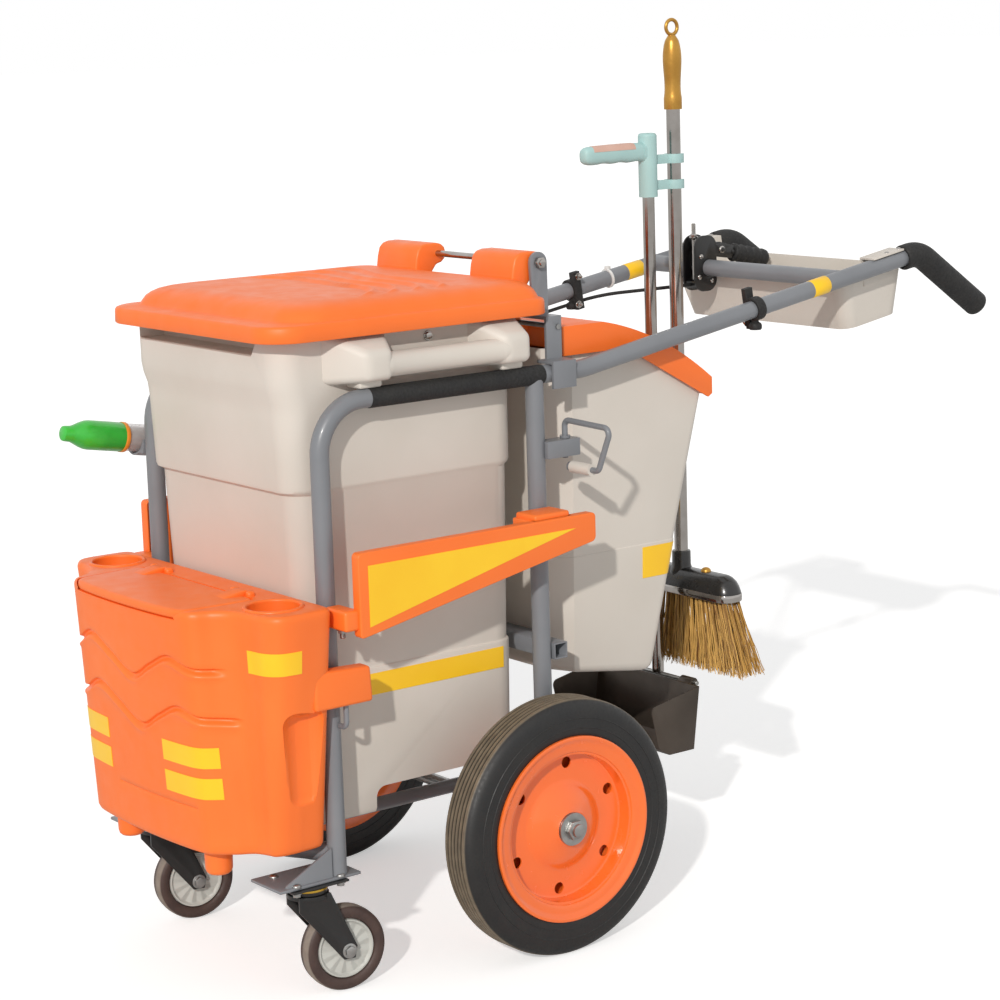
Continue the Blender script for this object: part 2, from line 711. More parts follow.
handle = handle_block("bin_handle", (-0.556, -0.440), (-0.507, -0.464))
rear_block = handle_block("rear_block", (-0.300, -0.207), (-0.258, -0.214))
panel = soften(block("panel", (0.195, -0.515, 0.8865), (0.2094, -0.2160, 0.9720)), 0.0065, 5)
pads = []
for y in PAD_STARTS:
    pads.append(soften(block("pad", (0.203, y, 0.8845), (0.240, y + PAD_LENGTH, 0.9000)), 0.004, 3))
bar_profile = (
    (0.0, 0.0), (0.0190, 0.0), (0.0190, 0.018), (0.0184, 0.0205), (0.0179, 0.0220),
    (0.0178, 0.120), (0.0179, 0.2180), (0.0186, 0.2200), (0.0192, 0.2225), (0.0192, 0.240), (0.0, 0.240),
)
grip_bar = spun("grip_bar", bar_profile, (0.2415, -0.482, 0.9160), axis="Y", steps=40)
joined(handle, rear_block, panel, grip_bar, *pads)
other_handle = twin(handle, "other_handle")
joined(main_bin, handle, other_handle)
home(main_bin, "frame", "bin_grey", "main_bin")
bin_screw = hexagon("left_bin_screw", (0.2094, -0.366, 0.9457), (1, 0, 0), 0.0058, 0.0046)
pair(bin_screw, "frame", "chrome")

# %% [markdown]
# The lid is one deep moulding: a skirt, a wide lip at the front, a swollen dome, four wavy ribs across its
# top and two hinge blocks behind. Loops go from the hollow underside over the skirt to the crown, close
# enough together that the ribs can be raised by lifting points near a drawn line.

# %% Main lid
LID_RUN = 130
CROWN_STEPS, CROWN_RISE = 80, 0.0028
LID_NOSE, LID_TAIL = 0.055, 0.026
RIB_X = (-0.190, -0.150, -0.110, -0.060, 0.000, 0.060, 0.110, 0.150, 0.178, 0.194)
FIRST_RIB = (-0.424, -0.419, -0.411, -0.405, -0.413, -0.416, -0.412, -0.420, -0.440, -0.464)
LAST_RIB = (-0.280, -0.270, -0.264, -0.281, -0.300, -0.306, -0.302, -0.304, -0.313, -0.330)
RIB_HEIGHT, RIB_WIDTH, RIB_FADE, RIB_END = 0.0036, 0.0056, 0.050, 0.16
VALLEY_DEPTH, VALLEY_AWAY = 0.30, 2.1
lid_under = (
    (0.004, -0.400, -0.392, 1.0065),
    (0.150, -0.540, -0.230, 1.0060),
    (0.200, -0.580, -0.190, 1.0000),
    (0.222, -0.604, -0.170, 0.9860),
    (0.234, -0.644, -0.163, 0.9800),
    (0.2358, -0.6485, -0.1620, 0.9605),
)
lid_over = (
    (0.2383, -0.6515, -0.1595, 0.9600),
    (0.2398, -0.6530, -0.1580, 0.9620),
    (0.2393, -0.6525, -0.1585, 0.9800),
    (0.2380, -0.6512, -0.1598, 0.9832),
    (0.2356, -0.6480, -0.1620, 0.9846),
    (0.2330, -0.6160, -0.1642, 0.9852),
    (0.2316, -0.6122, -0.1652, 0.9872),
    (0.2300, -0.6098, -0.1664, 0.9915),
    (0.2263, -0.6060, -0.1692, 0.9978),
    (0.2208, -0.6002, -0.1735, 1.0030),
    (0.2133, -0.5925, -0.1792, 1.0072),
    (0.2038, -0.5830, -0.1865, 1.0100),
    (0.1928, -0.5720, -0.1955, 1.0116),
)


def lid_loop(half, front, rear, z):
    """One loop of the lid, with a round front and cut-off rear corners."""
    nose = min(LID_NOSE, 0.9 * half, 0.45 * (rear - front))
    tail = min(LID_TAIL, 0.9 * half, 0.45 * (rear - front))
    return rounded(half, front, rear, z, nose, tail, corner=12, run=LID_RUN)


loops = [lid_loop(*numbers) for numbers in lid_under + lid_over]
half, front, rear, z = lid_over[-1]
for step in range(1, CROWN_STEPS):
    share = 1 - step / CROWN_STEPS
    middle = (front + rear) / 2
    near, far = middle + (front - middle) * share, middle + (rear - middle) * share
    loops.append(lid_loop(half * share, near, far, z + CROWN_RISE * (1 - share ** 2)))
main_lid = stack("main_lid_moulding", loops)
print("lid skin", len(main_lid.data.polygons))

# %% [markdown]
# The ribs are drawn as two soft lines, the first and the last, with two more evenly between. Points of the
# crown rise near a line and sink a little in front of it, so that each rib has a bright back and a soft
# valley.

# %% Ribs and hinge blocks of the main lid
def along_line(line, x):
    """Height and slope at x of a soft curve drawn through points, or None outside it."""
    for i, ((x0, y0), (x1, y1)) in enumerate(zip(line, line[1:])):
        if x0 <= x <= x1:
            before, after = line[max(i - 1, 0)], line[min(i + 2, len(line) - 1)]
            slope0 = (y1 - before[1]) / (x1 - before[0])
            slope1 = (after[1] - y0) / (after[0] - x0)
            run = x1 - x0
            t = (x - x0) / run
            rise = y0 * (2 * t ** 3 - 3 * t * t + 1) + y1 * (3 * t * t - 2 * t ** 3)
            rise += run * (slope0 * (t ** 3 - 2 * t * t + t) + slope1 * (t ** 3 - t * t))
            return rise, slope0 + (slope1 - slope0) * t
    return None


rib_lines = []
for rib in range(4):
    share = rib / 3
    ends = zip(RIB_X, FIRST_RIB, LAST_RIB)
    rib_lines.append([(x, first + (last - first) * share) for x, first, last in ends])
crown = [point.co.z > 0.998 and point.normal.z > 0.2 for point in main_lid.data.vertices]
for point, on_crown in zip(main_lid.data.vertices, crown):
    if not on_crown:
        continue
    for line in rib_lines:
        drawn = along_line(line, point.co.x)
        if drawn is None:
            continue
        fade = min(1.0, (point.co.x - RIB_X[0]) / RIB_FADE, (RIB_X[-1] - point.co.x) / (RIB_END * RIB_FADE))
        away = (point.co.y - drawn[0]) / hypot(1, drawn[1])
        point.co.z += fade * RIB_HEIGHT * exp(-((away / RIB_WIDTH) ** 2))
        sunk = (away + VALLEY_AWAY * RIB_WIDTH) / RIB_WIDTH
        point.co.z -= fade * VALLEY_DEPTH * RIB_HEIGHT * exp(-(sunk ** 2))


def knuckles(name, outline, inner, outer, width, segments):
    """A hinge block on each side of the middle."""
    made = []
    for side in SIDES.values():
        ends = sorted((side * inner, side * outer))
        made.append(soften(slab(name, outline, *ends), width, segments, 30))
    return made


LID_KNUCKLE = (
    (-0.186, 1.000), (-0.182, 1.026), (-0.178, 1.0395), (-0.171, 1.0465), (-0.161, 1.0488),
    (-0.142, 1.0488), (-0.132, 1.0468), (-0.1258, 1.041), (-0.1230, 1.032), (-0.1258, 1.023),
    (-0.132, 1.0172), (-0.142, 1.0150), (-0.160, 0.992), (-0.180, 0.990),
)
joined(main_lid, *knuckles("lid_knuckle", LID_KNUCKLE, 0.070, 0.179, 0.0040, 3))
home(main_lid, "main_lid", "orange_plastic", "main_lid", smooth=50)

# %% [markdown]
# The front box is the most shaped moulding: a bowed front, a soft valley on each side, and a round column
# with a cup hole at each end. Its outline changes evenly from foot to top, so every loop is a blend of
# these two.

# %% Front box outline
BOX_LOW, BOX_TOP = 0.228, 0.590
BOX_REAR = -0.600
BOX_FRONT_LOW, BOX_FRONT_TOP = -0.763, -0.783


def smooth_half(points, counts):
    """A soft line through points, each stretch divided by its count. The ends meet their mirror images."""
    first, last = points[1], points[-2]
    chain = [(-first[0], first[1])] + list(points) + [(-last[0], last[1])]
    line = []
    for (p, q, r, s), count in zip(zip(chain, chain[1:], chain[2:], chain[3:]), counts):
        for step in range(count):
            t = step / count
            blend = (
                -t + 2 * t * t - t ** 3,
                2 - 5 * t * t + 3 * t ** 3,
                t + 4 * t * t - 3 * t ** 3,
                t ** 3 - t * t,
            )
            line.append([sum(b * k[axis] for b, k in zip(blend, (p, q, r, s))) / 2 for axis in (0, 1)])
    line.append(list(points[-1]))
    return line


def both_halves(line, z):
    """A closed loop from the line of one half, which starts and ends on the middle plane."""
    near = [Vector((x, y, z)) for x, y in line]
    far = [Vector((-x, y, z)) for x, y in line[1:-1]]
    return near + far[::-1]


def drawn_in(loop, depths):
    """The loop moved inwards by a depth at each point."""
    moved = []
    for before, place, after, depth in zip(loop[-1:] + loop[:-1], loop, loop[1:] + loop[:1], depths):
        along = (after - before).normalized()
        moved.append(place + Vector((-along.y, along.x, 0)) * depth)
    return moved


def box_outline(share):
    """The front box's outline at a share of its height, from 0 at the foot to 1 at the top."""
    front = BOX_FRONT_LOW + (BOX_FRONT_TOP - BOX_FRONT_LOW) * share

    def between(low, top):
        return low + (top - low) * share

    points = (
        (0.0, front), (0.075, front + 0.002), (0.135, front + 0.007), (0.160, front + 0.013),
        (0.172, front + 0.023), (between(0.190, 0.183), front + 0.044),
        (between(0.203, 0.205), front + 0.063), (between(0.220, 0.234), front + 0.071),
        (between(0.234, 0.265), front + 0.076), (between(0.242, 0.286), front + 0.090),
        (between(0.244, 0.292), front + 0.112), (between(0.2435, 0.2915), -0.640),
        (between(0.2415, 0.289), -0.615), (between(0.236, 0.282), -0.604),
        (between(0.224, 0.268), BOX_REAR), (between(0.190, 0.220), BOX_REAR),
        (0.100, BOX_REAR), (0.0, BOX_REAR),
    )
    counts = (20, 16, 8, 6, 8, 7, 6, 8, 6, 5, 7, 6, 4, 4, 5, 8, 7)
    return both_halves(smooth_half(points, counts), BOX_LOW + (BOX_TOP - BOX_LOW) * share)


box_foot_line, box_top_line = box_outline(0.0), box_outline(1.0)


def box_place(index, z):
    """A point of the outline at a height."""
    return box_foot_line[index].lerp(box_top_line[index], (z - BOX_LOW) / (BOX_TOP - BOX_LOW))


print("box loop", len(box_top_line), "points")

# %% [markdown]
# Two wavy grooves run across the front, each with a sharp upper edge and a soft lower side. The loops near
# them are bent along the wave before they are stacked, so a groove is only a matter of drawing in a few
# loops, and it stays crisp.

# %% Front box body and its grooves
WAVE_Z, WAVE_DROP, WAVE_SHIFT = 0.500, 0.073, 0.013
WAVE = (
    (-0.215, 0.500), (-0.165, 0.496), (-0.109, 0.517), (-0.045, 0.496), (0.014, 0.474), (0.062, 0.496),
    (0.110, 0.516), (0.152, 0.506), (0.180, 0.502), (0.212, 0.500),
)
WAVE_ENDS = (-0.198, 0.193)
WAVE_FADE = 0.012
CALM_TOP, CALM_TOP_RUN = 0.572, 0.050
CALM_LOW, CALM_LOW_RUN = 0.300, 0.112
FRONT_FACE_Y = -0.69
GROOVE = {
    0.0056: 0.0, 0.0044: 0.0006, 0.0036: 0.0030, 0.0026: 0.0054, 0.0014: 0.0062, -0.0004: 0.0060,
    -0.0022: 0.0046, -0.0040: 0.0022, -0.0056: 0.0002, -0.0072: -0.0013, -0.0090: -0.0017, -0.0110: -0.0010,
    -0.0135: 0.0,
}
SEAM_X = (-0.060, 0.149)
SEAM = {0.2995: 0.0, 0.2982: 0.0014, 0.2968: 0.0022, 0.2950: 0.0012, 0.2925: 0.0}


def wave_bend(x, level):
    """How far a loop rises at x to run along the waves."""
    share = min(1.0, max(0.0, (WAVE_Z - level) / WAVE_DROP))
    above = min(1.0, max(0.0, (CALM_TOP - level) / CALM_TOP_RUN))
    below = min(1.0, max(0.0, (level - CALM_LOW) / CALM_LOW_RUN))
    drawn = along_line(WAVE, x - WAVE_SHIFT * share)
    return (drawn[0] - WAVE_Z) * min(above, below) if drawn else 0.0


def wave_depth(x, wave):
    """The share of the groove's depth at x: full between the wave's ends."""
    x -= WAVE_SHIFT * wave
    return min(1.0, max(0.0, (x - WAVE_ENDS[0]) / WAVE_FADE), max(0.0, (WAVE_ENDS[1] - x) / WAVE_FADE))


grooves = {}
for wave in (0, 1):
    for rise, depth in GROOVE.items():
        grooves[round(WAVE_Z - wave * WAVE_DROP + rise, 5)] = (depth, wave)
edges = {BOX_LOW: 0.008, 0.2305: 0.0025, 0.5850: 0.0010, 0.5882: 0.0032, 0.5896: 0.0060, BOX_TOP: 0.0100}
plain = [0.236, 0.246, 0.258, 0.270, 0.282] + [0.308 + 0.012 * k for k in range(9)]
plain += [0.4398 + 0.008 * k for k in range(6)] + [0.514 + 0.009 * k for k in range(7)] + [0.576, 0.581]
loops = []
for level in sorted([*edges, *plain, *SEAM, *grooves]):
    loop, depths = [], []
    for index in range(len(box_foot_line)):
        place = box_place(index, level)
        depth = edges.get(level, 0.0)
        if place.y < FRONT_FACE_Y:
            bend = wave_bend(place.x, level)
            place = box_place(index, level + bend)
            if level in grooves:
                depth += grooves[level][0] * wave_depth(place.x, grooves[level][1])
            if SEAM_X[0] < place.x < SEAM_X[1]:
                depth += SEAM.get(level, 0.0)
        loop.append(place)
        depths.append(depth)
    loops.append(drawn_in(loop, depths))
tool_box = stack("tool_box_moulding", loops)
print("box walls", len(tool_box.data.polygons))

# %% [markdown]
# The reflective stickers are strips of foil that lie along the wall. Two lines of points on the wall, one at
# the sticker's lower edge and one at its upper edge, are thickened and stacked.

# %% Stickers on the front box
FOIL = 0.0007


def foil(name, body, low_line, high_line):
    """A strip of foil laid along two lines on a wall, and its twin on the other side."""
    loops = []
    for line in (low_line, high_line):
        outside, inside = [], []
        for before, place, after in zip(line[:1] + line[:-1], line, line[1:] + line[-1:]):
            along = (after - before).normalized()
            away = Vector((along.y, -along.x, 0)) * FOIL
            outside.append(place + away)
            inside.append(place - away)
        loops.append(outside + inside[::-1])
    strip = stack("left_" + name, loops)
    pair(strip, body, "sticker_yellow")


def box_strip(name, test, z_low, z_high):
    """A sticker on the front box where the test holds."""
    chosen = [i for i, place in enumerate(box_foot_line) if test(box_place(i, z_low))]
    foil(name, "front_box", *[[box_place(i, z) for i in chosen] for z in (z_low, z_high)])


def on_front(place):
    """True where the two lower stickers lie."""
    return 0.079 < place.x < 0.183 and place.y < -0.7


def on_column(place):
    """True where the sticker of a column lies."""
    return place.x > 0.222 and place.y < -0.652


box_strip("upper_sticker", on_front, 0.3598, 0.3905)
box_strip("lower_sticker", on_front, 0.3135, 0.3448)
box_strip("column_sticker", on_column, 0.5030, 0.5365)

# %% [markdown]
# The top is opened last: a bed for the lid, the space under it, two round cups and a pocket in each side.
# Booleans do this cleanly on a closed moulding. Lugs, feet and hinge eyes are small blocks joined on.

# %% Openings, lugs and feet of the front box
def lid_outline(grow, z):
    """The box lid's outline, grown by a little for its bed."""
    front = BOX_FRONT_TOP
    points = (
        (0.0, front + 0.001 - grow), (0.075, front + 0.003 - grow), (0.130, front + 0.008 - grow),
        (0.149 + grow, front + 0.015 - grow), (0.156 + grow, front + 0.028), (0.159 + grow, -0.720),
        (0.1615 + grow, -0.680), (0.1605 + grow, -0.661), (0.154 + grow, -0.6535 + grow),
        (0.142, -0.652 + grow), (0.120, -0.652 + grow), (0.060, -0.652 + grow), (0.0, -0.652 + grow),
    )
    return both_halves(smooth_half(points, (10, 8, 5, 5, 6, 6, 4, 5, 5, 4, 4, 4)), z)


BED_GAP = 0.0016
CUP_X, CUP_Y, CUP_RADIUS = 0.222, -0.660, 0.038
POCKET_PLAN = (
    (0.330, -0.742), (0.252, -0.668), (0.249, -0.650), (0.250, -0.628), (0.258, -0.613), (0.330, -0.606),
)
BOX_FOOT = ((0.0, 0.0), (0.0155, 0.0), (0.0188, 0.003), (0.0202, 0.008), (0.0212, 0.046), (0.0, 0.046))
HINGE_EYES = ((0.088, 0.100), (0.1302, 0.142))
cut(tool_box, stack("lid_bed", [lid_outline(BED_GAP, 0.5765), lid_outline(BED_GAP, 0.65)]))
hollow = stack("hollow", [rounded(0.136, -0.743, -0.668, z, 0.015, 0.015) for z in (0.240, 0.62)])
cut(tool_box, hollow)
beads = []
for side in SIDES.values():
    cup = rod("cup", (side * CUP_X, CUP_Y, 0.500), (side * CUP_X, CUP_Y, 0.65), CUP_RADIUS, sides=64)
    soften(cup, 0.006, 4)
    cut(tool_box, cup)
    pocket = stack("pocket", [[(side * x, y, z) for x, y in POCKET_PLAN] for z in (0.298, 0.438)])
    pick(pocket, "VERT", lambda place, normal: place.z > 0.4 and abs(place.x) > 0.3)
    bpy.ops.transform.translate(value=(0, 0, 0.020))
    clear()
    soften(pocket, 0.016, 6)
    cut(tool_box, pocket)
    clear()
    bpy.ops.mesh.primitive_torus_add(
        location=(side * CUP_X, CUP_Y, 0.5896), major_radius=0.0412, minor_radius=0.0032,
        major_segments=64, minor_segments=10,
    )
    beads.append(added("cup_bead"))
    ends = sorted((side * 0.250, side * 0.277))
    lug = block("lug", (ends[0], -0.632, 0.440), (ends[1], -0.532, 0.497))
    pick(lug, "VERT", lambda place, normal: place.y > -0.56 and place.z > 0.47)
    bpy.ops.transform.translate(value=(0, -0.003, -0.004))
    clear()
    beads.append(soften(lug, 0.0055, 4))
    beads.append(spun("box_foot", BOX_FOOT, (side * 0.127, -0.714, 0.188), axis="Z", steps=40))
    for inner, outer in HINGE_EYES:
        ends = sorted((side * inner, side * outer))
        eye = block("hinge_eye", (ends[0], -0.6510, 0.572), (ends[1], -0.6375, 0.5972))
        beads.append(soften(eye, 0.0048, 4))
joined(tool_box, *beads)
home(tool_box, "front_box", "orange_plastic", "tool_box", smooth=48)

# %% [markdown]
# The box lid is a thick tray-shaped cover with a rounded lip that follows the bow of the front. It hinges on
# two small knuckles at the back.

# %% Box lid
LID_EDGE = (
    (0.0040, 0.5772), (0.0012, 0.5785), (0.0, 0.5815), (0.0, 0.5860), (0.0012, 0.5890), (0.0040, 0.5908),
    (0.0070, 0.5912),
)
loops = []
for depth, z in LID_EDGE:
    outline = lid_outline(0.0, z)
    loops.append(drawn_in(outline, [depth] * len(outline)))
box_lid = stack("box_lid_moulding", loops)
BOX_KNUCKLE = (
    (-0.690, 0.5850), (-0.686, 0.5910), (-0.676, 0.5935), (-0.656, 0.5968), (-0.646, 0.5974),
    (-0.6400, 0.5955), (-0.6385, 0.5925), (-0.6400, 0.5890), (-0.645, 0.5870), (-0.660, 0.5850),
)
joined(box_lid, *knuckles("box_knuckle", BOX_KNUCKLE, 0.1004, 0.1296, 0.0016, 2))
home(box_lid, "box_lid", "orange_plastic", "box_lid", smooth=48)

# %% [markdown]
# The rear bin is a tapering bucket with chamfered front edges, a floor that slopes back and a top cut off at
# a slant. It is stacked as a solid, softened along the chamfers and then hollowed with a second, smaller
# stack that runs out through the slanted top.

# %% Rear bin
REAR_FRONT, REAR_FOOT_Y, REAR_DEEP = -0.122, 0.075, 0.197
REAR_LOW, REAR_TALL = 0.358, 0.540
REAR_HALF, REAR_FLARE = 0.183, 0.014
REAR_LEAN, REAR_WALL_TALL = 0.107, 0.445
SLANT_Z, SLANT_RUN, SLANT_TALL = 0.803, 0.167, 0.095
REAR_CHAMFER, REAR_CORNER = 0.034, 0.016
FLOOR_DROP, FLOOR_FADE = 0.031, 0.12


def rear_loop(level, inset, open_top=False):
    """One loop of the rear bin: chamfered at the front, rounded at the rear."""
    half = REAR_HALF + REAR_FLARE * (level - REAR_LOW) / REAR_TALL - inset
    rear = REAR_FOOT_Y + REAR_LEAN * min(level - REAR_LOW, REAR_WALL_TALL) / REAR_WALL_TALL - inset
    if level > SLANT_Z and not open_top:
        rear -= SLANT_RUN * (level - SLANT_Z) / SLANT_TALL
    front = REAR_FRONT + inset
    corner = REAR_CORNER
    near = [(half - REAR_CHAMFER, front), (half, front + REAR_CHAMFER)]
    for k in range(5):
        turn = radians(90 * k / 4)
        near.append((half - corner + corner * cos(turn), rear - corner + corner * sin(turn)))
    plan = near + [(-x, y) for x, y in reversed(near)]
    slope = FLOOR_DROP * max(0.0, 1 - (level - REAR_LOW) / FLOOR_FADE)
    return [Vector((x, y, level + slope * (REAR_FOOT_Y - y) / REAR_DEEP)) for x, y in plan]


rear_levels = (
    (0.358, 0.0135), (0.3595, 0.0080), (0.3625, 0.0040), (0.3680, 0.0010), (0.3740, 0.0), (0.480, 0.0),
    (0.5695, 0.0), (0.5705, 0.0010), (0.5715, 0.0010), (0.680, 0.0008), (0.803, 0.0), (0.850, 0.0),
    (0.897, 0.0),
)
rear_bin = stack("rear_bin_moulding", [rear_loop(level, inset) for level, inset in rear_levels])
soften(rear_bin, 0.0090, 4, 33)
inner = [rear_loop(level, 0.004, True) for level in (0.366, 0.480, 0.700, 0.803, 0.930)]
cut(rear_bin, stack("rear_hollow", inner))
home(rear_bin, "frame", "bin_grey", "rear_bin", smooth=36)
softened("rear_lid", "rear_lid", "orange_plastic", 0.0018, 3)

# %% [markdown]
# The big wheels have solid rubber tyres with five grooves round the tread and fine rings on the side wall.
# The pressed rim is a dish with a rolled lip, a raised cone round the hub and six round holes. Each is a
# profile spun about the axle; the holes are cut with rods.

# %% Wheels
WHEEL_X = 0.307
WHEEL_CENTRE = (WHEEL_X, AXLE_Y, AXLE_Z)
TREAD_RADIUS, GROOVES = 0.1970, (0.016, 0.008, 0.0, -0.008, -0.016)
HOLES, FIRST_HOLE, HOLE_RING, HOLE_RADIUS = 6, 24, 0.097, 0.0088


def tyre_profile():
    """(radius, across) from the inner bead over the tread to the outer bead."""
    side = [
        (0.1384, 0.0315), (0.1430, 0.0338), (0.1500, 0.0346), (0.1540, 0.0349), (0.1548, 0.0356),
        (0.1556, 0.0350), (0.1640, 0.0352), (0.1690, 0.0352), (0.1698, 0.0359), (0.1706, 0.0351),
        (0.1780, 0.0346), (0.1850, 0.0328), (0.1905, 0.0298), (0.1938, 0.0262), (0.1950, 0.0238),
        (0.1962, 0.0226),
    ]
    tread = []
    for groove in GROOVES:
        for across, drop in ((0.0022, 0.0), (0.0014, 0.0026), (-0.0014, 0.0026), (-0.0022, 0.0)):
            tread.append((TREAD_RADIUS - drop, groove + across))
    return side + tread + [(r, -a) for r, a in reversed(side)] + [(0.1378, -0.020), (0.1378, 0.020)]


RIM_FACE = (
    (0.1390, 0.0300), (0.1416, 0.0312), (0.1432, 0.0345), (0.1425, 0.0375), (0.1400, 0.0386),
    (0.1368, 0.0378), (0.1345, 0.0352), (0.1290, 0.0340), (0.1220, 0.0334), (0.1180, 0.0318),
    (0.1160, 0.0280), (0.1150, 0.0200), (0.1140, 0.0130), (0.1115, 0.0100), (0.1070, 0.0090),
    (0.0720, 0.0090), (0.0670, 0.0100), (0.0620, 0.0135), (0.0560, 0.0178), (0.0450, 0.0222),
    (0.0340, 0.0256), (0.0270, 0.0286), (0.0235, 0.0325), (0.0220, 0.0345), (0.0200, 0.0345),
    (0.0200, 0.0290), (0.0300, 0.0235), (0.0450, 0.0192), (0.0550, 0.0145), (0.0620, 0.0095),
    (0.0690, 0.0064), (0.1080, 0.0064), (0.1110, 0.0080), (0.1122, 0.0200), (0.1135, 0.0290),
    (0.1220, 0.0306), (0.1320, 0.0310),
)
RIM_BARREL = (
    (0.1140, 0.0120), (0.1118, 0.0120), (0.1118, -0.0260), (0.1160, -0.0300), (0.1300, -0.0325),
    (0.1390, -0.0350), (0.1428, -0.0345), (0.1425, -0.0310), (0.1380, -0.0280), (0.1200, -0.0275),
    (0.1142, -0.0240),
)
BACK_DISH = (
    (0.0200, -0.0160), (0.0500, -0.0130), (0.0700, -0.0120), (0.1119, -0.0120), (0.1119, -0.0095),
    (0.0700, -0.0095), (0.0500, -0.0105), (0.0200, -0.0135),
)
tyre = spun("left_tyre_rubber", tyre_profile(), WHEEL_CENTRE, steps=128)
rim = spun("left_rim_pressing", RIM_FACE, WHEEL_CENTRE, steps=128)
for hole in range(HOLES):
    turn = radians(FIRST_HOLE + 360 / HOLES * hole)
    y, z = AXLE_Y + HOLE_RING * cos(turn), AXLE_Z + HOLE_RING * sin(turn)
    cut(rim, rod("hole", (WHEEL_X - 0.01, y, z), (WHEEL_X + 0.03, y, z), HOLE_RADIUS, sides=32))
barrel = spun("barrel", RIM_BARREL, WHEEL_CENTRE, steps=128)
joined(rim, barrel, spun("back_dish", BACK_DISH, WHEEL_CENTRE, steps=128))
pair(tyre, "left_wheel", "tyre_black", "left_tyre", smooth=32)
pair(rim, "left_wheel", "orange_paint", "left_rim")

# %% [markdown]
# The caster wheels have a brown rubber tread and a pale plastic hub with a fan of facets. The hub is spun,
# then every other spoke line is pushed in a little, which gives the facets their light and dark faces.

# %% Caster wheels
CASTER_TURN = radians(-9)
FACETS, FACET_DEPTH, FACET_START, FACET_END = 12, 0.0011, 0.018, 0.039
tread_side = (
    (0.0452, 0.0118), (0.0470, 0.0142), (0.0530, 0.0158), (0.0580, 0.0154), (0.0615, 0.0132),
    (0.0634, 0.0098),
)
tread_profile = list(tread_side) + [(0.0640, 0.0), *[(r, -a) for r, a in reversed(tread_side)]]
hub_side = (
    (0.0445, 0.0105), (0.0435, 0.0128), (0.0415, 0.0130), (0.0400, 0.0112), (0.0380, 0.0108),
    (0.0300, 0.0116), (0.0200, 0.0126), (0.0150, 0.0132), (0.0136, 0.0150), (0.0120, 0.0156),
    (0.0060, 0.0156),
)
hub_profile = list(hub_side) + [(r, -a) for r, a in reversed(hub_side)]
for label in SIDES:
    centre = Vector(CASTER_CENTRES[label])
    rubber = spun(f"{label}_caster_rubber", tread_profile, centre, steps=72)
    hub = spun(f"{label}_caster_fan", hub_profile, centre, steps=72)
    for point in hub.data.vertices:
        away = point.co - centre
        reach = hypot(away.y, away.z)
        if FACET_START < reach < FACET_END:
            turn = Vector((0, 1)).angle_signed(Vector((away.y, away.z)), 0.0)
            point.co.x -= FACET_DEPTH * (1 + cos(FACETS * turn)) * (1 if away.x > 0 else -1)
    swing = Matrix.Rotation(CASTER_TURN, 4, "Z")
    for piece in (rubber, hub):
        piece.data.transform(Matrix.Translation(centre) @ swing @ Matrix.Translation(-centre))
    home(rubber, f"{label}_caster_wheel", "caster_tread", f"{label}_caster_tread")
    home(hub, f"{label}_caster_wheel", "caster_hub", f"{label}_caster_hub", smooth=20)
    softened(f"{label}_caster_fork", f"{label}_caster", "black_metal", 0.0010)

# %% [markdown]
# The side wings are stiff plastic panels that widen to the front. Each is a slab with rounded corners whose
# back is inset and pushed in, which leaves the turned-in rim of a moulded part. A block at the front and a
# shelf at the rear carry it on the frame, and a yellow triangle marks its face.

# %% Side wings
WING_SIDE = ((-0.568, 0.540), (-0.568, 0.664), (-0.136, 0.664), (-0.136, 0.621))
WING_TRIANGLE = ((-0.552, 0.645), (-0.552, 0.556), (-0.175, 0.645))
wing = slab("left_wing_moulding", WING_SIDE, 0.2865, 0.3040)
pick(wing, "EDGE", lambda middle, along: abs(along.x) > 0.01)
bpy.ops.mesh.bevel(offset=0.007, segments=4)
pick(wing, "FACE", lambda middle, normal: normal.x < -0.9)
bpy.ops.mesh.inset(thickness=0.0035)
bpy.ops.mesh.extrude_region_move(TRANSFORM_OT_translate={"value": (0.0135, 0, 0)})
clear()
soften(wing, 0.0022, 3)
tab = soften(block("tab", (0.2463, -0.5910, 0.5530), (0.3000, -0.5640, 0.5830)), 0.0050, 4)
shelf = soften(block("shelf", (0.2463, -0.2500, 0.6520), (0.3000, -0.1740, 0.6640)), 0.0030, 3)
pad = soften(block("shelf_pad", (0.2475, -0.2450, 0.6600), (0.2960, -0.1790, 0.6720)), 0.0040, 3)
joined(wing, tab, shelf, pad)
pair(wing, "frame", "orange_plastic", "left_wing")
pair(slab("left_wing_sticker", WING_TRIANGLE, 0.3034, 0.3047), "frame", "sticker_yellow")
wing_bolt = hexagon("left_wing_bolt", (0.272, -0.578, 0.5530), (0, 0, -1), 0.0072, 0.0060)
joined(wing_bolt, stud("bolt_end", (0.272, -0.578, 0.5470), (0, 0, -1), 0.0042, 0.0080))
pair(wing_bolt, "frame", "zinc")

# %% [markdown]
# More foil: a strip on each side of the main bin, one round each rear corner of the rear bin, and bands of
# tape round the handle arms. The bands are short sleeves, spun about the arm.

# %% Stickers on the bins and bands on the arms
def bin_half(z):
    """Half the width of the main bin's lower part."""
    low_half, _, _, low_z = bin_outside[2]
    high_half, _, _, high_z = bin_outside[3]
    return low_half + (high_half - low_half) * (z - low_z) / (high_z - low_z)


bin_lines = []
for z in (0.423, 0.4555):
    bin_lines.append([Vector((bin_half(z), y, z)) for y in (-0.484, -0.360, -0.235)])
foil("bin_sticker", "frame", *bin_lines)
corner_lines = []
for z in (0.515, 0.565):
    corner = [place for place in rear_loop(z, 0.0) if place.x > 0.1 and place.y > 0.0]
    start, end = corner[0].copy(), corner[-1].copy()
    start.y, end.x = 0.052, 0.125
    corner_lines.append([start, *corner, end])
foil("corner_sticker", "frame", *corner_lines)

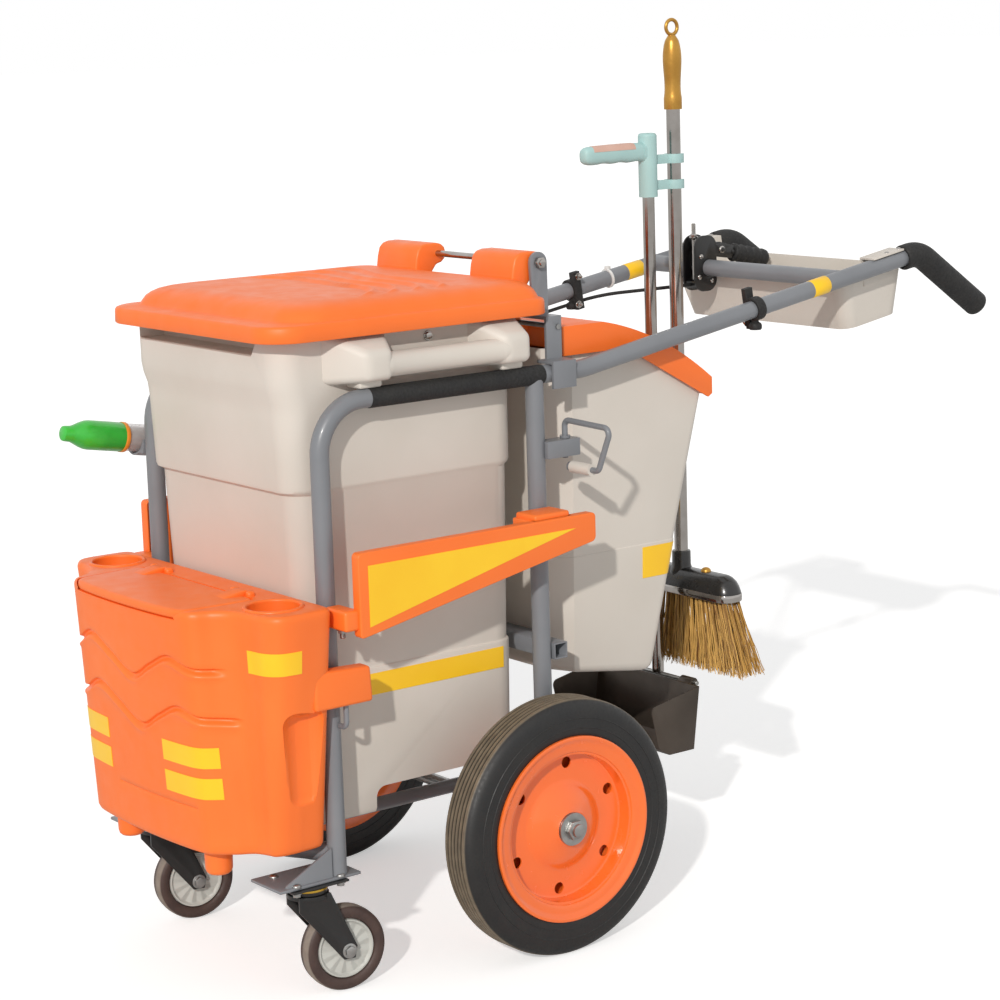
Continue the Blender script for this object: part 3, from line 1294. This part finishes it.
ARM_X, ARM_Y, ARM_Z = 0.232, -0.099, 0.870
ARM_SLOPE = tan(radians(9.2))
SLEEVE_BORE = 0.0130


def arm_place(y, side):
    """A point on the middle line of a handle arm."""
    return Vector((side * ARM_X, y, ARM_Z + ARM_SLOPE * (y - ARM_Y)))


def sleeve(name, y, side, radius, length):
    """A thin band round a handle arm."""
    edge = radius - 0.0004
    profile = (
        (SLEEVE_BORE, 0.0), (edge, 0.0), (radius, 0.0006), (radius, length - 0.0006), (edge, length),
        (SLEEVE_BORE, length),
    )
    return turned(name, profile, arm_place(y, side), (0, 1, ARM_SLOPE), 48)


RAIL_COVER = (
    (SLEEVE_BORE, 0.0), (0.0146, 0.0), (0.0150, 0.0010), (0.0150, 0.3140), (0.0146, 0.3150),
    (SLEEVE_BORE, 0.3150),
)
for label, side in SIDES.items():
    cover = spun(f"{label}_rail_cover", RAIL_COVER, (side * ARM_X, -0.492, ARM_Z), axis="Y", steps=48)
    home(cover, "frame", "grip_rubber")
    home(sleeve(f"{label}_arm_band", 0.380, side, 0.0145, 0.036), "frame", "sticker_yellow")
tie = sleeve("cable_tie", 0.339, -1, 0.0172, 0.0042)
tie_head = soften(block("tie_head", (-0.004, -0.0045, -0.003), (0.004, 0.0045, 0.0035)), 0.0012, 2)
tie_head.data.transform(Matrix.Translation(arm_place(0.341, -1) + Vector((0.0, 0, 0.0180))))
home(joined(tie, tie_head), "frame", "tie_white")

# %% [markdown]
# The caster heads are black pressings with a ball race that shows as a thin yellow ring. Four domed screws
# hold each one to its mount plate, with nuts below, and a bolt carries the wheel between the cheeks.

# %% Casters and their fasteners
softened("caster_mounts", "frame", "grey_paint", 0.0014)
RACE = ((0.0270, 0.0), (0.0296, 0.0), (0.0302, 0.0010), (0.0302, 0.0024), (0.0296, 0.0034), (0.0270, 0.0034))
CHEEK_X = 0.0240
cheek_line = Vector((cos(CASTER_TURN), sin(CASTER_TURN), 0))
for label, side in SIDES.items():
    softened(f"{label}_caster_head", "frame", "black_metal", 0.0014)
    pivot = Vector((side * 0.212, -0.618, 0))
    race = spun(f"{label}_caster_race", RACE, pivot + Vector((0, 0, 0.1640)), axis="Z", steps=64)
    home(race, "frame", "yellow_zinc")
    screws = []
    for x in (-0.030, 0.030):
        for y in (-0.038, 0.038):
            screws.append(dome("screw", pivot + Vector((x, y, 0.1808)), (0, 0, 1), 0.0072, 0.0046))
            screws.append(hexagon("nut", pivot + Vector((x, y, 0.1718)), (0, 0, -1), 0.0062, 0.0060))
    screws[0].name = f"{label}_caster_screws"
    home(joined(*screws), "frame", "zinc")
    centre = Vector(CASTER_CENTRES[label])
    bolt = hexagon(f"{label}_caster_bolt", centre + cheek_line * CHEEK_X, cheek_line, 0.0088, 0.0062)
    end = hexagon("bolt_end", centre - cheek_line * CHEEK_X, -cheek_line, 0.0088, 0.0052)
    home(joined(bolt, end), f"{label}_caster", "zinc")

# %% [markdown]
# The wheel hubs end in a broad washer and a nut. The axle with its nuts comes from the CAD with softened
# edges, so the washer only fills the step between hub and nut.

# %% Axle hardware
WASHER_X = 0.3412
WASHER = (
    (0.0120, 0.0), (0.0250, 0.0), (0.0256, 0.0008), (0.0252, 0.0020), (0.0180, 0.0026), (0.0120, 0.0026),
)
softened("axle", "frame", "zinc", 0.0010)
for label, side in SIDES.items():
    softened(f"{label}_hub", f"{label}_wheel", "zinc", 0.0010)
    washer = turned(f"{label}_washer", WASHER, (side * WASHER_X, AXLE_Y, AXLE_Z), (side, 0, 0), 64)
    home(washer, "frame", "zinc")
softened("axle_brackets", "frame", "grey_paint", 0.0014)
softened("rear_cross_bar", "frame", "grey_paint", 0.0006)
softened("bridge_bar", "frame", "grey_paint", 0.0010)
softened("box_hooks", "frame", "grey_paint", 0.0010)
softened("hook_bracket", "frame", "grey_paint", 0.0012)
softened("lid_hinge_rod", "frame", "chrome", 0.0010)

# %% [markdown]
# The hand tray is a thin vacuum-formed dish hung between the arms. Its CAD shape has all its walls, so it
# only needs softer edges and the screws in its tabs. The tool clamps are black straps with bright bolts.

# %% Tray and tool clamps
CLAMP_Y = 0.260
softened("tray", "frame", "bin_grey", 0.0009, 3, ring=True)
softened("tool_clamps", "frame", "grip_rubber", 0.0018, 3)
fixings = []
for side in SIDES.values():
    for y in (0.556, 0.584):
        place = arm_place(y, side) + Vector((0, 0, 0.0165))
        fixings.append(dome("tab_screw", place, (0, -ARM_SLOPE, 1), 0.0046, 0.0030))
    for z in (-0.024, 0.024):
        place = arm_place(CLAMP_Y, side) + Vector((-side * 0.019, 0, z))
        fixings.append(hexagon("clamp_bolt", place, (-side, 0, 0), 0.0050, 0.0042))
        fixings.append(stud("clamp_stud", place, (-side, 0, 0), 0.0028, 0.0090))
fixings[0].name = "tray_and_clamp_screws"
home(joined(*fixings), "frame", "chrome")
KNOB = (
    (0.0, 0.0), (0.0050, 0.0), (0.0056, 0.0030), (0.0090, 0.0050), (0.0104, 0.0080), (0.0104, 0.0130),
    (0.0090, 0.0155), (0.0, 0.0160),
)
for label, side in SIDES.items():
    under_arm = arm_place(CLAMP_Y, side) + Vector((0, 0, -0.0180))
    home(turned(f"{label}_clamp_knob", KNOB, under_arm, (0, 0, -1), 40), "frame", "grip_rubber")

# %% [markdown]
# The rubber grips and the brake lever are what a hand meets. The long grips are softened CAD pieces with a
# rounded end. The lever's grip is spun with shallow finger grooves and laid along the lever, and the release
# button pokes out of its end.

# %% Grips and brake
for label in SIDES:
    softened(f"{label}_grip", "frame", "grip_rubber", 0.0050, 4)
softened("brake_bracket", "frame", "black_metal", 0.0009)
softened("brake_lever", "brake_lever", "black_metal", 0.0013)
softened("brake_arm", "brake_arm", "black_metal", 0.0012)
LEVER_PIN = Vector((-0.105, 0.480, 0.9879))
LEVER_LINE = Vector((0, 118, -26)).normalized()
grip_profile = [(0.0090, 0.0380), (0.0132, 0.0382), (0.0150, 0.0398)]
for k in range(41):
    along = 0.0420 + 0.0660 * k / 40
    grip_profile.append((0.0152 + 0.0008 * cos(2 * pi * k / 10), along))
grip_profile += [(0.0158, 0.1100), (0.0152, 0.1140), (0.0136, 0.1162), (0.0110, 0.1168)]
grip_profile += [(0.0052, 0.1168), (0.0052, 0.1100)]
lever_grip = turned("lever_grip_rubber", grip_profile, LEVER_PIN, LEVER_LINE, 48)
home(lever_grip, "brake_lever", "grip_rubber", "brake_grip", smooth=60)
RIVETS = (
    (0.480, 0.9879, 0.0066), (0.432, 0.9790, 0.0048), (0.428, 0.9440, 0.0048), (0.456, 0.9360, 0.0042),
)
rivets = []
for x, line in ((-0.089, 1), (-0.121, -1)):
    for y, z, radius in RIVETS:
        rivets.append(dome("rivet", (x, y, z), (line, 0, 0), radius, 0.0034))
rivets.append(hexagon("adjuster_nut", (-0.105, 0.430, 1.0120), (0, 0, 1), 0.0060, 0.0060))
rivets.append(stud("adjuster", (-0.105, 0.430, 0.9400), (0, 0, 1), 0.0038, 0.0960))
rivets[0].name = "brake_rivets"
home(joined(*rivets), "frame", "chrome")
softened("brake_button", "brake_button", "chrome", 0.0012)

# %% [markdown]
# The dustpan's handle is a sleeve with two clips for the broom and a pistol grip. The sleeve and clips come
# from the CAD. The pistol is stacked afresh along its length, with an arched back, four finger swellings
# below and a rounded nose, and a pink inlay lies along its back.

# %% Dustpan handle
pistol_stations = (
    (0.232, 0.0112, 0.0145, 0.0140), (0.222, 0.0116, 0.0152, 0.0148), (0.212, 0.0116, 0.0156, 0.0142),
    (0.203, 0.0116, 0.0158, 0.0152), (0.194, 0.0116, 0.0158, 0.0158), (0.185, 0.0116, 0.0158, 0.0146),
    (0.176, 0.0116, 0.0158, 0.0140), (0.167, 0.0116, 0.0156, 0.0152), (0.158, 0.0116, 0.0156, 0.0156),
    (0.149, 0.0116, 0.0154, 0.0144), (0.140, 0.0116, 0.0152, 0.0140), (0.131, 0.0116, 0.0150, 0.0152),
    (0.122, 0.0116, 0.0148, 0.0156), (0.114, 0.0114, 0.0144, 0.0152), (0.108, 0.0108, 0.0132, 0.0140),
    (0.104, 0.0092, 0.0108, 0.0116), (0.1022, 0.0066, 0.0074, 0.0080),
)
PISTOL_Z = 1.172


def pistol_loop(y, half, above, below, grow=0.0):
    """A rounded section of the pistol grip."""
    loop = []
    for k in range(24):
        turn = 2 * pi * k / 24
        height = above if sin(turn) > 0 else below
        across = abs(cos(turn)) ** 0.75 * (1 if cos(turn) > 0 else -1)
        rise = abs(sin(turn)) ** 0.75 * (1 if sin(turn) > 0 else -1)
        loop.append(((half + grow) * across, y, PISTOL_Z + (height + grow) * rise))
    return loop


pan_handle = copied("pan_handle", 0.0016, 3)
cut(pan_handle, block("old_pistol", (-0.04, 0.06, 1.130), (0.04, 0.2238, 1.215)))
joined(pan_handle, stack("pistol", [pistol_loop(*station) for station in pistol_stations]))
home(pan_handle, "dustpan", "pale_blue", "pan_handle", smooth=45)
inlay_loops = []
inlaid = pistol_stations[2:-3]
for number, station in enumerate(inlaid):
    proud = 0.0005 if 0 < number < len(inlaid) - 1 else -0.0008
    outer, inner = pistol_loop(*station, proud), pistol_loop(*station, -0.0024)
    inlay_loops.append(outer[1:12] + inner[1:12][::-1])
home(stack("pistol_inlay", inlay_loops), "dustpan", "inlay_pink", smooth=50)

# %% [markdown]
# The scoop is folded from dark sheet with a rolled front edge, and it hangs from the yoke rod.

# %% Dustpan scoop
softened("pan_scoop", "scoop", "scoop_sheet", 0.0006)
softened("pan_rod", "dustpan", "zinc", 0.0012, 3)

# %% [markdown]
# The broom head is a glossy black block with a bright metal edge, a collar for the stick and a brass screw.
# Loops with round ends are stacked for the block and its edge, and the collar is spun.

# %% Broom head
BROOM_Y = 0.297


def broom_loop(half, depth, z, round_end=0.0230):
    """A loop round the broom head."""
    end = min(round_end, 0.9 * depth)
    return rounded(half, BROOM_Y - depth, BROOM_Y + depth, z, end, end, corner=10)


head_loops = (
    (0.1290, 0.0200, 0.4280), (0.1340, 0.0248, 0.4284), (0.1348, 0.0254, 0.4300), (0.1350, 0.0256, 0.4410),
    (0.1338, 0.0248, 0.4450), (0.1310, 0.0232, 0.4520), (0.1265, 0.0205, 0.4590), (0.1200, 0.0165, 0.4650),
    (0.1130, 0.0115, 0.4685), (0.1070, 0.0070, 0.4698),
)
broom_head = stack("broom_head_moulding", [broom_loop(*numbers) for numbers in head_loops])
collar = (
    (0.0, 0.0), (0.0215, 0.0), (0.0205, 0.0100), (0.0172, 0.0160), (0.0160, 0.0200), (0.0158, 0.0420),
    (0.0150, 0.0440), (0.0122, 0.0445), (0.0, 0.0445),
)
joined(broom_head, spun("broom_collar", collar, (0, BROOM_Y, 0.4535), axis="Z", steps=48))
home(broom_head, "broom", "head_black", "broom_head", smooth=50)
softened("broom_grip", "broom", "gold", 0.0012)
band_loops = (
    (0.1335, 0.0240, 0.4276), (0.1358, 0.0262, 0.4280), (0.1362, 0.0266, 0.4290), (0.1362, 0.0266, 0.4392),
    (0.1357, 0.0262, 0.4400), (0.1340, 0.0248, 0.4402),
)
broom_edge = stack("broom_edge", [broom_loop(*numbers, 0.0240) for numbers in band_loops])
home(broom_edge, "broom", "chrome", smooth=50)
home(dome("broom_screw", (0.062, BROOM_Y, 0.4690), (0, 0, 1), 0.0086, 0.0080), "broom", "gold")

# %% [markdown]
# The bristles are real strands: one thin strand is stacked, an Array modifier multiplies it, and each copy is
# then rooted in its tuft, splayed, crimped and trimmed at random.

# %% Bristles
STRAND_LEVELS = 14
ROOT_Z, TIP_Z, TRIM = 0.4280, 0.3060, 0.005
ROOT_HALF, ROOT_DEEP, ROOT_LOOSE = 0.128, 0.020, 0.0016
TIP_HALF, TIP_DEEP, TIP_LOOSE = 0.176, 0.033, (0.0042, 0.0034)
STRAND_RADIUS, STRAND_TAPER = 0.00092, 0.00030
CRIMP, CRIMP_TURNS = 0.0009, (15, 13)
TONE_MIDDLE, TONE_SPREAD, ROOT_TONE, TIP_GAIN = 0.48, 0.24, 0.70, 0.30
TUFTS, ROWS, PER_TUFT = 22, 4, 19
corners = [(cos(2 * pi * k / 3), sin(2 * pi * k / 3)) for k in range(3)]
strands = stack("bristle_strands", [[(x, y, level) for x, y in corners] for level in range(STRAND_LEVELS)])
per_strand = len(strands.data.vertices)
modified(strands, "ARRAY", count=TUFTS * ROWS * PER_TUFT, use_relative_offset=False)
chance = random.Random(4)
tones = strands.data.attributes.new("tone", "FLOAT", "POINT")
points = strands.data.vertices
for number in range(TUFTS * ROWS * PER_TUFT):
    tuft, row = number % TUFTS, (number // TUFTS) % ROWS
    across = (tuft + 0.5) / TUFTS * 2 - 1
    deep = (row + 0.5) / ROWS * 2 - 1
    root_x = ROOT_HALF * across + chance.gauss(0, ROOT_LOOSE)
    root_y = BROOM_Y + ROOT_DEEP * deep + chance.gauss(0, ROOT_LOOSE)
    tip_x = TIP_HALF * across + chance.gauss(0, TIP_LOOSE[0])
    tip_y = BROOM_Y + TIP_DEEP * deep + chance.gauss(0, TIP_LOOSE[1])
    tip_z = TIP_Z + TRIM * abs(chance.gauss(0, 1))
    root, tip = Vector((root_x, root_y, ROOT_Z)), Vector((tip_x, tip_y, tip_z))
    phase = chance.random() * 2 * pi
    tone = min(1.0, max(0.0, chance.gauss(TONE_MIDDLE, TONE_SPREAD)))
    for point in points[number * per_strand:(number + 1) * per_strand]:
        share = point.co.z / (STRAND_LEVELS - 1)
        radius = STRAND_RADIUS - STRAND_TAPER * share
        place = root.lerp(tip, share) + Vector((point.co.x, point.co.y, 0)) * radius
        place.x += CRIMP * share * sin(phase + CRIMP_TURNS[0] * share)
        place.y += CRIMP * share * cos(phase + CRIMP_TURNS[1] * share)
        tones.data[point.index].value = tone * (ROOT_TONE + TIP_GAIN * share)
        point.co = place
home(strands, "broom", "bristle", "broom_bristles", smooth=70)

# %% [markdown]
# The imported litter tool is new: its green end shows, and the rest is wrapped in clear film over a grey core.
# The three are spun about one line, and the film's rings are pushed about at random so that it crumples.

# %% Packed litter tool
TOOL_START = Vector((-0.275, -0.714, 0.791))
TOOL_LINE = Vector((0, 1, -0.178)).normalized()
FILM_LOOSE_FROM, FILM_SQUEEZE = 0.0200, 0.06
green_profile = (
    (0.0, 0.0), (0.0088, 0.0), (0.0112, 0.0012), (0.0120, 0.0036), (0.0126, 0.0140), (0.0150, 0.0200),
    (0.0196, 0.0300), (0.0222, 0.0380), (0.0230, 0.0450), (0.0230, 0.1040), (0.0222, 0.1055),
    (0.0, 0.1055),
)
green_end = turned("litter_tool_end", green_profile, TOOL_START, TOOL_LINE, 48)
home(green_end, "litter_tool", "green_pack", "litter_tool", smooth=30)
band_profile = (
    (0.0200, 0.1015), (0.0234, 0.1015), (0.0238, 0.1022), (0.0238, 0.1075), (0.0234, 0.1082),
    (0.0200, 0.1082),
)
home(turned("litter_tool_band", band_profile, TOOL_START, TOOL_LINE, 48), "litter_tool", "orange_tape")
core_profile = ((0.0, 0.1040), (0.0165, 0.1040), (0.0165, 0.5380), (0.0150, 0.5440), (0.0, 0.5450))
home(turned("litter_tool_core", core_profile, TOOL_START, TOOL_LINE, 40), "litter_tool", "zinc")
film_profile = [(0.0190, 0.1050), (0.0222, 0.1062)]
film_profile += [(0.0222, 0.1090 + 0.0088 * k) for k in range(50)]
film_profile += [(0.0150, 0.5480), (0.0, 0.5500), (0.0, 0.5460), (0.0172, 0.5440), (0.0180, 0.1080)]
film = spun("litter_tool_film", film_profile, (0, 0, 0), axis="Z", steps=56)
for point in film.data.vertices:
    reach = hypot(point.co.x, point.co.y)
    if reach > FILM_LOOSE_FROM:
        squeeze = 1 - chance.random() * FILM_SQUEEZE
        point.co.x *= squeeze
        point.co.y *= squeeze
home(aimed(film, TOOL_START, TOOL_LINE), "litter_tool", "film", smooth=25)
softened("tool_cradles", "frame", "grey_paint", 0.0010)

# %% [markdown]
# What is left are plain tubes, rods and sheets whose CAD shape is already right. Each gets the finish that
# its record names.

# %% Finishes of the remaining CAD pieces
for entry in frame["record"]["subparts"]:
    for slot in frame["nodes"][entry["node"]].material_slots:
        slot.link = "OBJECT"
        slot.material = finishes[entry["material_slot"]]
